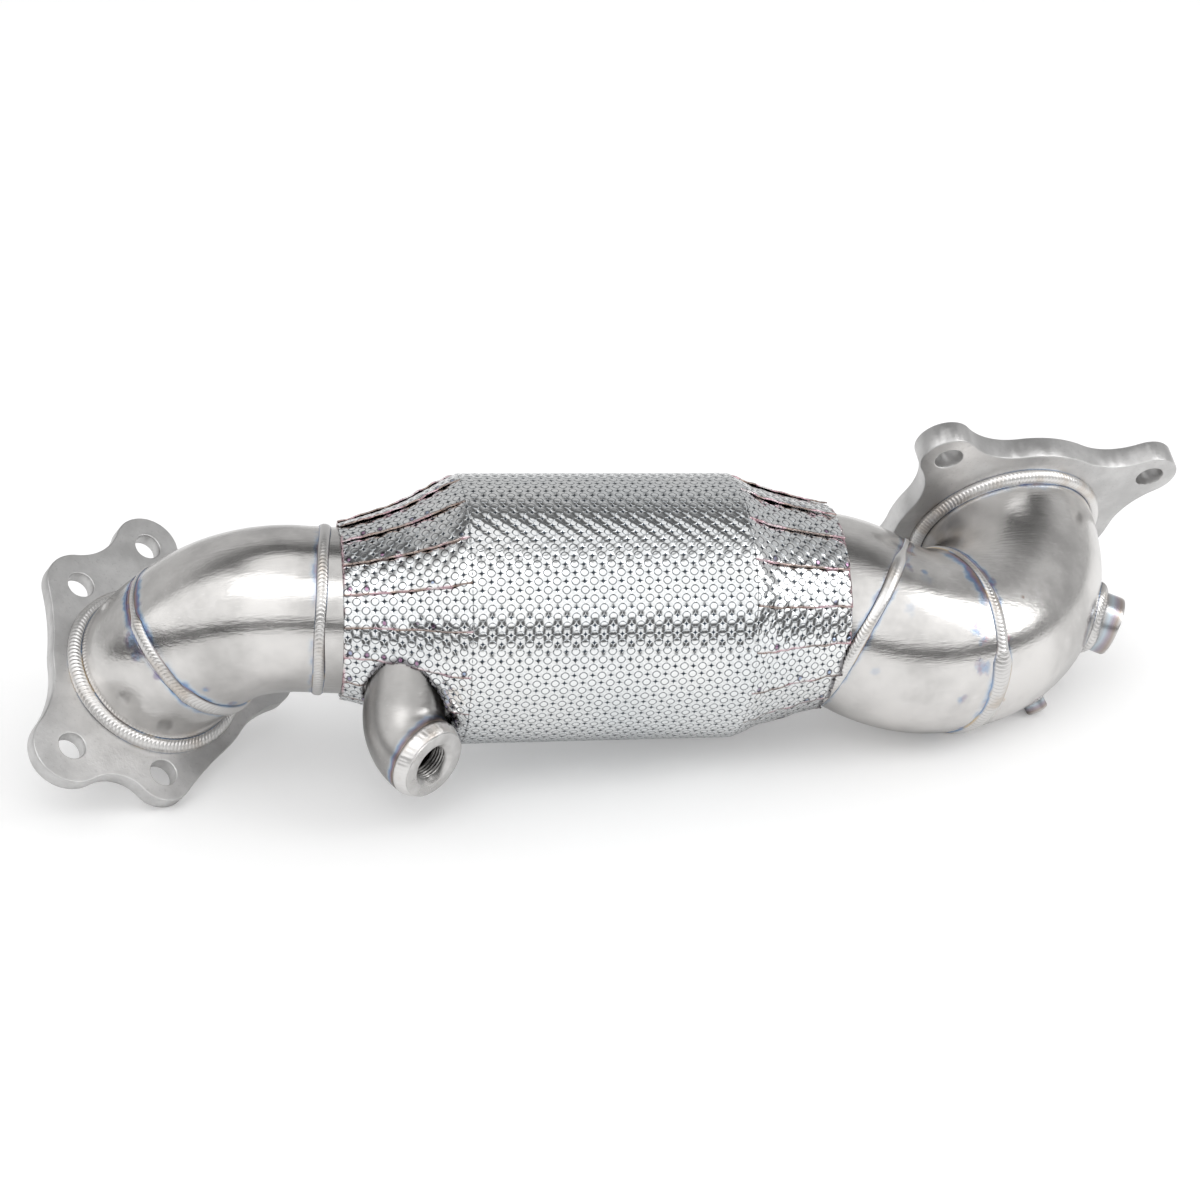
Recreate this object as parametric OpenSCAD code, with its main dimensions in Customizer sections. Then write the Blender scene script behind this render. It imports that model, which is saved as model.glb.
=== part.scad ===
// Exhaust downpipe: catalytic converter under an embossed heat shield,
// bent stainless tubes to both sides, two flanges and three bungs.
// The converter's axis is X: outlet toward -X, turbo side toward +X.

/* [Converter] */
// Outer radius of the can
can_r = 53; // [48:0.5:54]
// Half the can's length
can_half = 60; // [52:1:62]
// Sheet of the can and both cones
can_wall = 1.5; // [1:0.1:2]
// Mat between the core and the can
mat_t = 3.5; // [2.5:0.5:5]
// Half the core's length
core_half = 50; // [40:1:52]
// Where the outlet cone becomes a neck
neck_x = 106; // [98:1:112]
// Where the inlet cone ends
inlet_cone_x = 91; // [84:1:94]

/* [Heat shield] */
// Radius of the shield's straight body
shield_r = 62.3; // [60:0.1:66]
// Sheet of the shield with its embossing
shield_t = 1.2; // [1:0.1:1.6]
// Half height of one embossed bump
emboss_h = 0.32; // [0.1:0.02:0.4]
// Bumps and dimples round the body
emboss_n = 100; // [60:4:104]
// Bump to dimple along the body
emboss_x = 4.1; // [3.5:0.1:5]
// Overlap step of each pleat
pleat_h = 1.3; // [0.6:0.1:2]
// Pleats round each end
pleat_n = 18; // [8:1:20]
// Left end of the straight body
body_x0 = -63.4; // [-66:0.1:-62]
// Right end of the straight body
body_x1 = 63.9; // [62:0.1:66]
// Gap round the sensor elbow in the shield
elbow_gap = 0.9; // [0.6:0.1:3]

/* [Outlet pipe] */
// Outlet tube's outer radius
out_r = 38.1; // [36:0.1:38.6]
// Outlet tube's wall
out_wall = 1.6; // [1.2:0.1:2.2]
// Bend radius of the outlet elbow
out_elbow_bend = 62; // [56:1:80]
// Turn of the outlet elbow
out_elbow_turn = 45; // [30:1:60]
// Bend radius of the flange stub
out_stub_bend = 58; // [52:1:80]
// Turn of the flange stub
out_stub_turn = 22; // [10:1:35]

/* [Inlet pipe] */
// Inlet tube's outer radius
in_r = 44.4; // [42:0.1:45]
// Inlet tube's wall
in_wall = 1.6; // [1.2:0.1:2.2]
// Bend radius next to the converter
in_low_bend = 48; // [46:1:90]
// Turn next to the converter
in_low_turn = 31.87; // [20:0.1:35]
// Bend radius of the middle bend
in_mid_bend = 48; // [46:1:80]
// Turn of the middle bend
in_mid_turn = 45.54; // [25:0.1:50]
// Bend radius of the big elbow
in_elbow_bend = 64.5; // [60:0.5:80]
// Turn of the big elbow
in_elbow_turn = 78.6; // [60:0.2:90]

/* [Flanges] */
// Outlet flange plate
out_plate_t = 8; // [6:0.5:12]
// Radius of the outlet plate round the tube
out_plate_r = 49.5; // [47:0.5:52]
// Stud hole in the outlet flange, radius
out_hole_r = 6.25; // [5:0.25:7]
// Inlet flange plate
in_plate_t = 12; // [8:0.5:14]
// Radius of the inlet plate round the tube
in_plate_r = 59.5; // [56:0.5:62]
// Radius of each inlet lobe
in_lobe_r = 14; // [12:0.5:16]
// Stud hole in the inlet flange, radius
in_hole_r = 6.75; // [5:0.25:7.5]
// Half the stud spacing across the symmetry line
in_half_a = 58.2; // [54:0.2:62]
// Half the stud spacing along the symmetry line
in_half_b = 50.4; // [47:0.2:54]

/* [Sensor elbow] */
// Elbow tube's outer radius
sensor_r = 18.45; // [17:0.05:20]
// Elbow tube's wall
sensor_wall = 1.9; // [1.2:0.1:2.4]
// Elbow's bend radius
sensor_bend = 23.3; // [21:0.1:30]
// Elbow's turn
sensor_turn = 65; // [50:0.2:80]

/* [Bungs] */
// Rear bung beyond the elbow's end
rear_bung_h = 7.1; // [6:0.1:12]
// Front bung's outer radius
front_bung_r = 15; // [13:0.1:17]
// Front bung above the tube
front_bung_h = 11; // [8:0.5:16]
// Core radius of both oxygen sensor threads
sensor_thread_r = 8.25; // [7:0.05:9]
// Port boss, outer radius
port_r = 5.5; // [4.5:0.1:7]
// Port boss above the tube
port_h = 7.5; // [5:0.5:12]
// Core radius of the port's thread
port_thread_r = 2.5; // [2:0.1:3]

/* [Welds] */
// Width of a butt weld's bead
bead_w = 6; // [4:0.2:6.8]
// Height of a butt weld's bead
bead_h = 1.7; // [1:0.1:2.5]
// Leg of a flange weld
fillet_w = 5.5; // [4:0.1:5.8]
// Leg of a bung's weld
bung_weld_w = 3.2; // [2:0.1:4]

/* [Hidden] */
$fn = 96;
core_r = can_r - can_wall - mat_t;
shield_in = shield_r - shield_t;

// Shield outline [x, radius] from each mouth to the body
out_skirt = [[-117.9, 39.7], [-111.8, 41.5], [-101, 44.6], [-88, 49.4],
    [-76, 55.8], [-66.5, 61.2], [body_x0, shield_r]];
in_skirt = [[body_x1, shield_r], [66.5, 61.4], [73.5, 57.4], [84, 54.1],
    [98, 50.6], [111.6, 47.7]];

// Outlet flange: lobe centres, lobe radii, and the fillet after each lobe
out_studs = [[67, 14.4], [46.2, -25.7], [-35.7, -50.3], [-51.8, -9.4], [-5, 57]];
out_lobes = [16, 16.4, 18, 14.2, 15.5];

// Start of each run of tube: point and direction
out_start = [-117.9, 0, 0];
out_dir = [-0.9973, 0.046, 0.0565];
out_weld_s = 7.9;
out_bend_s = 18.8;
in_start_x = 101.26;
stub = 3.5;
flange_stub = 6;
// Tube ends are sized down by this, so that weld and stub share a true cylinder
swage = 0.15;

// Where the sensor elbow leaves the shield, and its direction
sensor_start = [-90.37, -25.51, -43.06];
sensor_dir = [-0.1667, -0.0788, -0.9829];
sensor_root = 20;
sensor_end = 1;
sensor_roll = 246.25;
rear_bung_r = sensor_r - sensor_wall - swage;
// The shield's hole is wider than the elbow toward this side
elbow_slack = [3.2, -0.8, -1];
// Gap between the shield's inlet mouth and the bead it is cut round
bead_gap = 0.4;

// Stations of the bungs on the big elbow: [turn along the bend, roll round the tube]
front_bung_at = [50.8, -5.9];
port_at = [26.5, 27.4];

// Pose at rest
rest_turn = [-27.357, 3.673, 0];
rest_at = [-23.215, -15.623, 72.349];

// Directions square to a tangent: one toward Z, one beside it
function unit(v) = v / norm(v);
function toward_up(t) = unit([0, 0, 1] - t.z * t);
function beside(t) = cross(t, toward_up(t));
function turn_to(t, roll) = cos(roll) * toward_up(t) + sin(roll) * beside(t);

// Place and direction after a run [bend radius, turn, roll], with straights round it
function end_dir(t, run) = unit(cos(run[1]) * t + sin(run[1]) * turn_to(t, run[2]));
function end_point(p, t, run, pre, post) = p + pre * t + run[0] * sin(run[1]) * t
    + run[0] * (1 - cos(run[1])) * turn_to(t, run[2]) + post * end_dir(t, run);

out_elbow_run = [out_elbow_bend, out_elbow_turn, 138.4];
out_stub_run = [out_stub_bend, out_stub_turn, 94.5];
in_low_run = [in_low_bend, in_low_turn, 159.92];
in_mid_run = [in_mid_bend, in_mid_turn, 316.73];
in_elbow_run = [in_elbow_bend, in_elbow_turn, 325.36];
sensor_run = [sensor_bend, sensor_turn, sensor_roll];
sdir = unit(sensor_dir);
sensor_end_t = end_dir(sdir, sensor_run);
sensor_end_p = end_point(sensor_start, sdir, sensor_run, 0, sensor_end);

odir = unit(out_dir);
wl_p = out_start + out_weld_s * odir;
w1_t = end_dir(odir, out_elbow_run);
w1_p = end_point(wl_p, odir, out_elbow_run, out_bend_s - out_weld_s, stub);
f1_t = end_dir(w1_t, out_stub_run);
f1_p = end_point(w1_p, w1_t, out_stub_run, stub, flange_stub);
in_t = [1, 0, 0];
in_p = [inlet_cone_x, 0, 0];
in_pre = in_start_x - inlet_cone_x;
w2_t = end_dir(in_t, in_low_run);
w2_p = end_point(in_p, in_t, in_low_run, in_pre, stub);
w3_t = end_dir(w2_t, in_mid_run);
w3_p = end_point(w2_p, w2_t, in_mid_run, stub, stub);
f2_t = end_dir(w3_t, in_elbow_run);
f2_p = end_point(w3_p, w3_t, in_elbow_run, stub, flange_stub);

// Frame at a point: Z along t, X toward Z of the part
module at(p, t, roll = 0) {
    translate(p)
        rotate([0, acos(t.z), atan2(t.y, t.x)])
            rotate([0, 0, 180 + roll])
                children();
}

module rest() {
    translate(rest_at)
        rotate(rest_turn)
            children();
}

// Solid rod along a run; over lengthens both ends
module rod(r, run, pre, post, over = 0) {
    bend = run[0];
    turn = run[1];
    sunk = 0.8;
    translate([0, 0, -over])
        cylinder(r = r - swage, h = pre + over + sunk);
    translate([bend, 0, pre])
        rotate([90, 0, 180])
            rotate_extrude(angle = turn)
                translate([bend, 0])
                    circle(r);
    translate([bend, 0, pre])
        rotate([0, turn, 0])
            translate([-bend, 0, -sunk])
                cylinder(r = r - swage, h = post + over + sunk);
}

module pipe(r, wall, run, pre, post) {
    difference() {
        rod(r, run, pre, post);
        rod(r - wall, run, pre, post, 1);
    }
}

// Bead of a butt weld round a tube of radius r
module bead(tube_r) {
    r = tube_r - swage;
    arc = (bead_w * bead_w / 4 + bead_h * bead_h) / (2 * bead_h);
    rotate_extrude()
        intersection() {
            translate([r + bead_h - arc, 0])
                circle(arc);
            translate([r, -bead_w / 2])
                square([bead_h + 1, bead_w]);
        }
}

// Fillet weld in the corner of a tube and a plate at z = 0
module fillet(tube_r, leg) {
    r = tube_r - swage;
    rotate_extrude()
        intersection() {
            translate([r, 0])
                circle(leg);
            translate([r, -leg])
                square(leg);
        }
}

// Centre of the circle of radius rf that touches circles c1, r1 and c2, r2
function fillet_at(c1, r1, c2, r2, rf) =
    let (d = norm(c2 - c1), u = (c2 - c1) / d, v = [-u.y, u.x],
        x = ((r1 + rf) * (r1 + rf) - (r2 + rf) * (r2 + rf) + d * d) / (2 * d))
    c1 + x * u + sqrt((r1 + rf) * (r1 + rf) - x * x) * v;

// Web between two circles with a hollow flank on the left of c1 to c2
module web(c1, r1, c2, r2, rf) {
    f = fillet_at(c1, r1, c2, r2, rf);
    difference() {
        polygon([c1, c2, f]);
        translate(f)
            circle(rf);
    }
}

// Lobe on a round plate, with its own hollow on each side
module lobe(c, r, plate, before, after) {
    translate(c)
        circle(r);
    web(c, r, [0, 0], plate, before);
    web([0, 0], plate, c, r, after);
}

module outlet_outline() {
    circle(out_plate_r);
    lobe(out_studs[0], out_lobes[0], out_plate_r, 40, 40);
    lobe(out_studs[1], out_lobes[1], out_plate_r, 120, 120);
    lobe(out_studs[2], out_lobes[2], out_plate_r, 50, 50);
    lobe(out_studs[3], out_lobes[3], out_plate_r, 200, 60);
    lobe(out_studs[4], out_lobes[4], out_plate_r, 50, 50);
    web(out_studs[0], out_lobes[0], out_studs[1], out_lobes[1], 25);
    web(out_studs[2], out_lobes[2], out_studs[3], out_lobes[3], 18);
}

module outlet_flange() {
    color("silver")
        at(f1_p, f1_t)
            linear_extrude(height = out_plate_t)
                difference() {
                    outlet_outline();
                    for (s = out_studs)
                        translate(s)
                            circle(out_hole_r);
                    circle(out_r - out_wall);
                }
}

in_studs = [for (s = [[1, -1], [1, 1], [-1, 1], [-1, -1]])
    [s.x * in_half_b, s.y * in_half_a]];
in_roll = 6.5;

module inlet_flange() {
    color("silver")
        at(f2_p, f2_t, in_roll)
            linear_extrude(height = in_plate_t)
                difference() {
                    union() {
                        circle(in_plate_r);
                        for (s = in_studs)
                            lobe(s, in_lobe_r, in_plate_r, 35, 35);
                    }
                    for (s = in_studs)
                        translate(s)
                            circle(in_hole_r);
                    circle(in_r - in_wall);
                }
}

module outlet_flange_weld() {
    color("gainsboro")
        at(f1_p, f1_t)
            fillet(out_r, fillet_w);
}

module inlet_flange_weld() {
    color("gainsboro")
        at(f2_p, f2_t)
            fillet(in_r, fillet_w);
}

module outlet_stub() {
    color("lightgray")
        at(w1_p, w1_t, out_stub_run[2])
            pipe(out_r, out_wall, out_stub_run, stub, flange_stub);
}

module outlet_stub_weld() {
    color("gainsboro")
        at(w1_p, w1_t)
            bead(out_r);
}

module outlet_elbow() {
    color("lightgray")
        at(wl_p, odir, out_elbow_run[2])
            pipe(out_r, out_wall, out_elbow_run, out_bend_s - out_weld_s, stub);
}

module outlet_ring_weld() {
    color("gainsboro")
        at(wl_p, odir)
            bead(out_r);
}

// Solid of the outlet cone and its neck, shrunk by inset
module cone_solid(inset, over = 0) {
    neck = -out_start.x - neck_x + 6;
    at([-can_half + over, 0, 0], [-1, 0, 0])
        rotate_extrude()
            polygon([[0, 0], [can_r - inset, 0], [can_r - inset, 3 + over],
                [out_r + 1.4 - inset, neck_x - can_half + over], [0, neck_x - can_half + over]]);
    at(out_start - neck * odir, odir)
        cylinder(r = out_r - swage - inset, h = out_weld_s + neck + over);
}

// Sensor elbow from inside the cone to its end
module sensor_solid(r, root, over = 0) {
    at(sensor_start - root * sdir, sdir, sensor_roll)
        rod(r, sensor_run, root, sensor_end, over);
}

module outlet_cone() {
    color("darkgray")
        difference() {
            cone_solid(0);
            cone_solid(can_wall, 0.5);
            at(sensor_start - sensor_root * sdir, sdir)
                cylinder(r = sensor_r - sensor_wall, h = sensor_root);
        }
}

module inlet_cone() {
    len = inlet_cone_x - can_half;
    color("darkgray")
        at([can_half, 0, 0], [1, 0, 0])
            rotate_extrude()
                polygon([[can_r - can_wall, 0], [can_r, 0], [can_r, 3], [in_r, len - 4], [in_r, len],
                    [in_r - can_wall, len], [in_r - can_wall, len - 4], [can_r - can_wall, 3]]);
}

module converter_can() {
    color("darkgray")
        at([-can_half, 0, 0], [1, 0, 0])
            difference() {
                cylinder(r = can_r, h = 2 * can_half);
                translate([0, 0, -1])
                    cylinder(r = can_r - can_wall, h = 2 * can_half + 2);
            }
}

module support_mat() {
    color("white")
        at([-core_half, 0, 0], [1, 0, 0])
            difference() {
                cylinder(r = can_r - can_wall, h = 2 * core_half);
                translate([0, 0, -1])
                    cylinder(r = core_r, h = 2 * core_half + 2);
            }
}

module honeycomb_core() {
    color("tan")
        at([-core_half, 0, 0], [1, 0, 0])
            cylinder(r = core_r, h = 2 * core_half);
}

module insulation_blanket() {
    color("white")
        at([-can_half, 0, 0], [1, 0, 0])
            difference() {
                cylinder(r = shield_in * cos(180 / emboss_n), h = 2 * can_half);
                translate([0, 0, -1])
                    cylinder(r = can_r, h = 2 * can_half + 2);
            }
}

// Closed skin between an outer and an inner surface, each with its own stations
module skin(an, xo, outer, xi, inner) {
    n = len(an);
    k = len(xo) * n;
    end = (len(xo) - 1) * n;
    in_end = k + (len(xi) - 1) * n;
    pts = [
        for (i = [0:len(xo) - 1], j = [0:n - 1])
            [xo[i], outer[i][j] * cos(an[j]), outer[i][j] * sin(an[j])],
        for (i = [0:len(xi) - 1], j = [0:n - 1])
            [xi[i], inner[i] * cos(an[j]), inner[i] * sin(an[j])]];
    faces = [
        for (i = [0:len(xo) - 2], j = [0:n - 1])
            let (a = i * n + j, b = i * n + (j + 1) % n)
            each [[a, b, b + n], [a, b + n, a + n]],
        for (i = [0:len(xi) - 2], j = [0:n - 1])
            let (a = k + i * n + j, b = k + i * n + (j + 1) % n)
            each [[a, b + n, b], [a, a + n, b + n]],
        for (j = [0:n - 1])
            let (q = (j + 1) % n)
            each [[j, k + j, k + q], [j, k + q, q],
                [end + j, end + q, in_end + q], [end + j, in_end + q, in_end + j]]];
    polyhedron(pts, faces);
}

// Straight body with its bumps and dimples in chequer order
module shield_body() {
    rows = round((body_x1 - body_x0) / emboss_x);
    xs = [for (i = [0:rows]) body_x0 + (body_x1 - body_x0) * i / rows];
    an = [for (j = [0:emboss_n - 1]) 360 * j / emboss_n];
    outer = [for (i = [0:rows]) [for (j = [0:emboss_n - 1])
        shield_r + (i == 0 || i == rows ? -emboss_h : emboss_h * (1 - 2 * ((i + j) % 2)))]];
    skin(an, xs, outer, [body_x0, body_x1], [shield_in, shield_in]);
}

// Skirt of overlapping pleats from the body to the mouth, first seam at the angle first
module skirt(shape, first) {
    part = [0, 0.25, 0.5, 0.75, 0.97];
    an = [for (k = [0:pleat_n - 1], f = part) first + (k + f) * 360 / pleat_n];
    xs = [for (s = shape) s.x];
    outer = [for (s = shape) [for (k = [0:pleat_n - 1], f = part)
        s.y - emboss_h + pleat_h * f * (s.y < shield_r ? 1 : 0)]];
    skin(an, xs, outer, xs, [for (s = shape) s.y - shield_t]);
}

module heat_shield() {
    color("whitesmoke") {
        shield_body();
        difference() {
            skirt(in_skirt, 0.5);
            at(w2_p, w2_t)
                translate([0, 0, -bead_w / 2 - bead_gap])
                    cylinder(r = in_r + bead_h + bead_gap, h = 3 * bead_w, $fn = 60);
        }
        difference() {
            skirt(out_skirt, 9.5);
            sensor_solid(sensor_r + elbow_gap, sensor_root, $fn = 60);
            translate(elbow_slack)
                sensor_solid(sensor_r, sensor_root, $fn = 60);
        }
    }
}

module sensor_elbow() {
    color("lightgray")
        difference() {
            sensor_solid(sensor_r, sensor_root);
            sensor_solid(sensor_r - sensor_wall, sensor_root, 1);
            cone_solid(0);
        }
}

module sensor_elbow_weld() {
    color("gainsboro")
        difference() {
            intersection() {
                at(sensor_start - sensor_root * sdir, sdir)
                    cylinder(r = sensor_r + 2.2, h = sensor_root + 2);
                cone_solid(-1.8);
            }
            sensor_solid(sensor_r, sensor_root, 1);
            cone_solid(0);
        }
}

// Threaded bung through z = 0; sink is the mouth's countersink
module bung(r, h, below, thread_r, sink, edge) {
    rotate_extrude()
        polygon([[thread_r, -below], [r, -below], [r, h - edge], [r - edge, h],
            [thread_r + sink, h], [thread_r, h - sink]]);
}

module rear_sensor_bung() {
    color("silver")
        at(sensor_end_p, sensor_end_t)
            bung(rear_bung_r, rear_bung_h, 2.5, sensor_thread_r, 2.4, 0.6);
}

// Broad weld that runs from the elbow's end to the edge of the bung's face
module rear_bung_weld() {
    wide = sensor_r - swage;
    color("gainsboro")
        at(sensor_end_p, sensor_end_t)
            rotate_extrude()
                polygon([[rear_bung_r, 0], [wide, 0], [wide + 0.35, 1], [wide + 0.1, 2.4],
                    [rear_bung_r + 1.1, 4.6], [rear_bung_r, rear_bung_h - 0.9]]);
}

module inlet_lower_bend() {
    color("lightgray")
        at(in_p, in_t, in_low_run[2])
            pipe(in_r, in_wall, in_low_run, in_pre, stub);
}

module inlet_lower_weld() {
    color("gainsboro")
        at(w2_p, w2_t)
            bead(in_r);
}

module inlet_middle_bend() {
    color("lightgray")
        at(w2_p, w2_t, in_mid_run[2])
            pipe(in_r, in_wall, in_mid_run, stub, stub);
}

module inlet_middle_weld() {
    color("gainsboro")
        at(w3_p, w3_t)
            bead(in_r);
}

// Frame of a bung on the big elbow: Z leaves the tube, z = 0 on its surface
module on_elbow(spot) {
    at(w3_p, w3_t, in_elbow_run[2])
        translate([in_elbow_bend, 0, stub])
            rotate([0, spot[0], 0])
                translate([-in_elbow_bend, 0, 0])
                    rotate([0, 0, spot[1]])
                        rotate([0, -90, 0])
                            translate([0, 0, in_r])
                                children();
}

module inlet_elbow_solid() {
    at(w3_p, w3_t, in_elbow_run[2])
        rod(in_r, in_elbow_run, stub, flange_stub, $fn = 300);
}

module inlet_elbow() {
    color("lightgray")
        difference() {
            at(w3_p, w3_t, in_elbow_run[2])
                pipe(in_r, in_wall, in_elbow_run, stub, flange_stub);
            on_elbow(front_bung_at)
                translate([0, 0, -10])
                    cylinder(r = front_bung_r, h = 20);
            on_elbow(port_at)
                translate([0, 0, -5])
                    cylinder(r = port_r, h = 10);
        }
}

module front_sensor_bung() {
    color("silver")
        on_elbow(front_bung_at)
            bung(front_bung_r, front_bung_h, 4, sensor_thread_r, 1.5, 1);
}

module front_sensor_weld() {
    color("gainsboro")
        difference() {
            on_elbow(front_bung_at)
                translate([0, 0, -6])
                    difference() {
                        cylinder(r1 = front_bung_r + bung_weld_w + 2, r2 = front_bung_r + 0.8, h = 8.5);
                        translate([0, 0, -1])
                            cylinder(r = front_bung_r, h = 12);
                    }
            inlet_elbow_solid();
        }
}

module port_boss() {
    color("silver")
        on_elbow(port_at)
            bung(port_r, port_h, 2.5, port_thread_r, 0.8, 0.8);
}

module port_weld() {
    color("gainsboro")
        difference() {
            on_elbow(port_at)
                translate([0, 0, -2])
                    difference() {
                        cylinder(r1 = port_r + 3, r2 = port_r + 0.5, h = 4);
                        translate([0, 0, -1])
                            cylinder(r = port_r, h = 6);
                    }
            inlet_elbow_solid();
        }
}

rest() outlet_flange();
rest() outlet_flange_weld();
rest() outlet_stub();
rest() outlet_stub_weld();
rest() outlet_elbow();
rest() outlet_ring_weld();
rest() outlet_cone();
rest() converter_can();
rest() support_mat();
rest() honeycomb_core();
rest() inlet_cone();
rest() insulation_blanket();
rest() heat_shield();
rest() sensor_elbow();
rest() sensor_elbow_weld();
rest() rear_sensor_bung();
rest() rear_bung_weld();
rest() inlet_lower_bend();
rest() inlet_lower_weld();
rest() inlet_middle_bend();
rest() inlet_middle_weld();
rest() inlet_elbow();
rest() inlet_flange_weld();
rest() inlet_flange();
rest() front_sensor_bung();
rest() front_sensor_weld();
rest() port_boss();
rest() port_weld();
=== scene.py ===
import bmesh
import bpy
import math
import numpy as np
from mathutils import Matrix, Vector


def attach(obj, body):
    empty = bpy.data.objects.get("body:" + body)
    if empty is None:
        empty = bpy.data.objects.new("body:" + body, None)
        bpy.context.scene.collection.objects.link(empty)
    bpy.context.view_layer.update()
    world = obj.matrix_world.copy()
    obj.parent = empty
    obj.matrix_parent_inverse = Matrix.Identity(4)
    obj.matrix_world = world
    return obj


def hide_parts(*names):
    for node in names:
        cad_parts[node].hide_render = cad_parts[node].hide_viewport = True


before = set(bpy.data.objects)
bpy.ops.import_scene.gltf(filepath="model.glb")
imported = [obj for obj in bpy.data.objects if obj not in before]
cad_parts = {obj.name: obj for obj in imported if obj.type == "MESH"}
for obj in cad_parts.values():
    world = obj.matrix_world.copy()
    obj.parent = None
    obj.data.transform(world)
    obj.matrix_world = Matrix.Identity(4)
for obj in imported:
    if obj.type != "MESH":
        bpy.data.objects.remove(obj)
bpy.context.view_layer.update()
print("frame loaded:", len(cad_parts), "nodes")

# How the part lies: its own frame has the converter's axis on X, in mm
lie = {"turnX": -27.357, "turnY": 3.673, "shift": (-23.215, -15.623, 72.349)}

# Sizes shared by several pieces, in mm and degrees; a run is (bend radius, turn, roll)
pipes = {
    "outR": 38.1, "outStart": (-117.9, 0, 0), "outDir": (-0.9973, 0.046, 0.0565),
    "ringAt": 7.9, "bendAt": 18.8, "stub": 3.5, "flangeStub": 6,
    "outElbow": (62, 45, 138.4), "outStub": (58, 22, 94.5),
    "inR": 44.4, "inStart": (91, 0, 0), "inPre": 10.26,
    "inLow": (48, 31.87, 159.92), "inMid": (48, 45.54, 316.73), "inElbow": (64.5, 78.6, 325.36),
    "sensorR": 18.45, "sensorStart": (-90.37, -25.51, -43.06), "sensorDir": (-0.1667, -0.0788, -0.9829),
    "sensorRun": (23.3, 65, 246.25), "sensorEnd": 1, "holeGap": 0.9, "holeSlack": (3.2, -0.8, -1),
    "frontBung": (50.8, -5.9), "port": (26.5, 27.4)}


def unit(v):
    v = np.asarray(v, float)
    return v / np.linalg.norm(v)


def lieMatrix():
    a, b = math.radians(lie["turnX"]), math.radians(lie["turnY"])
    rx = np.array([[1, 0, 0], [0, math.cos(a), -math.sin(a)], [0, math.sin(a), math.cos(a)]])
    ry = np.array([[math.cos(b), 0, math.sin(b)], [0, 1, 0], [-math.sin(b), 0, math.cos(b)]])
    return ry @ rx


turned = lieMatrix()


def toFrame(points):
    # from the part's own frame in mm to metres where it lies
    return (np.asarray(points, float) @ turned.T + np.array(lie["shift"])) / 1000


def turnTo(t, roll):
    # the direction square to t that is roll degrees from its upward side
    up = unit(np.array([0, 0, 1]) - t[2] * t)
    r = math.radians(roll)
    return math.cos(r) * up + math.sin(r) * np.cross(t, up)


def along(p, t, run, pre, turn):
    # point and direction after a straight pre and turn degrees of the run's bend
    bend, roll = run[0], run[2]
    a = math.radians(turn)
    side = turnTo(t, roll)
    q = np.asarray(p, float) + pre * t + bend * math.sin(a) * t + bend * (1 - math.cos(a)) * side
    return q, unit(math.cos(a) * t + math.sin(a) * side)


def runEnd(p, t, run, pre, post):
    q, e = along(p, t, run, pre, run[1])
    return q + post * e, e


outDir = unit(pipes["outDir"])
ringP = np.array(pipes["outStart"]) + pipes["ringAt"] * outDir
stubP, stubT = runEnd(ringP, outDir, pipes["outElbow"], pipes["bendAt"] - pipes["ringAt"], pipes["stub"])
outFaceP, outFaceT = runEnd(stubP, stubT, pipes["outStub"], pipes["stub"], pipes["flangeStub"])
lowP, lowT = runEnd(pipes["inStart"], np.array([1.0, 0, 0]), pipes["inLow"], pipes["inPre"], pipes["stub"])
midP, midT = runEnd(lowP, lowT, pipes["inMid"], pipes["stub"], pipes["stub"])
inFaceP, inFaceT = runEnd(midP, midT, pipes["inElbow"], pipes["stub"], pipes["flangeStub"])
sensorT0 = unit(pipes["sensorDir"])
sensorP, sensorT = runEnd(pipes["sensorStart"], sensorT0, pipes["sensorRun"], 0, pipes["sensorEnd"])


def onElbow(spot):
    # point on the big elbow's skin and the outward direction there; spot: degrees along the bend, degrees round
    q, t = along(midP, midT, pipes["inElbow"], pipes["stub"], spot[0])
    a = math.radians(spot[0])
    inward = unit(-math.sin(a) * midT + math.cos(a) * turnTo(midT, pipes["inElbow"][2]))
    r = math.radians(spot[1])
    out = -(math.cos(r) * inward + math.sin(r) * np.cross(t, inward))
    return q + pipes["inR"] * out, out


def centreLine(points, p, t, run, pre):
    # nearest points on a run's centre line: its straight start, then its arc
    side = turnTo(t, run[2])
    q = points - np.asarray(p, float) - pre * t
    a = np.clip(np.arctan2(q @ t, run[0] - q @ side), 0, math.radians(run[1]))
    arc = run[0] * (np.sin(a)[..., None] * t + (1 - np.cos(a))[..., None] * side)
    straight = (q @ t)[..., None] * t
    return np.where((q @ t)[..., None] < 0, straight, arc) + np.asarray(p, float) + pre * t


def putMesh(name, verts, faces, finish, uv, marks):
    # verts in metres; faces is an array of quads; uv is one pair per corner; marks: one number per vertex
    mesh = bpy.data.meshes.new(name)
    mesh.vertices.add(len(verts))
    mesh.vertices.foreach_set("co", np.ascontiguousarray(verts, dtype=np.float32).ravel())
    sides = faces.shape[1]
    mesh.loops.add(faces.size)
    mesh.loops.foreach_set("vertex_index", faces.astype(np.int32).ravel())
    mesh.polygons.add(len(faces))
    mesh.polygons.foreach_set("loop_start", np.arange(0, faces.size, sides, dtype=np.int32))
    layer = mesh.uv_layers.new(name="UVMap")
    layer.data.foreach_set("uv", np.ascontiguousarray(uv, dtype=np.float32).ravel())
    for key, values in marks.items():
        mark = mesh.attributes.new(key, "FLOAT", "POINT")
        mark.data.foreach_set("value", np.asarray(values, np.float32).ravel())
    mesh.update(calc_edges=True)
    mesh.validate()
    mesh.polygons.foreach_set("use_smooth", np.ones(len(mesh.polygons), bool))
    mesh.materials.append(finish.material)
    piece = bpy.data.objects.new(name, mesh)
    bpy.context.scene.collection.objects.link(piece)
    return piece


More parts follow.
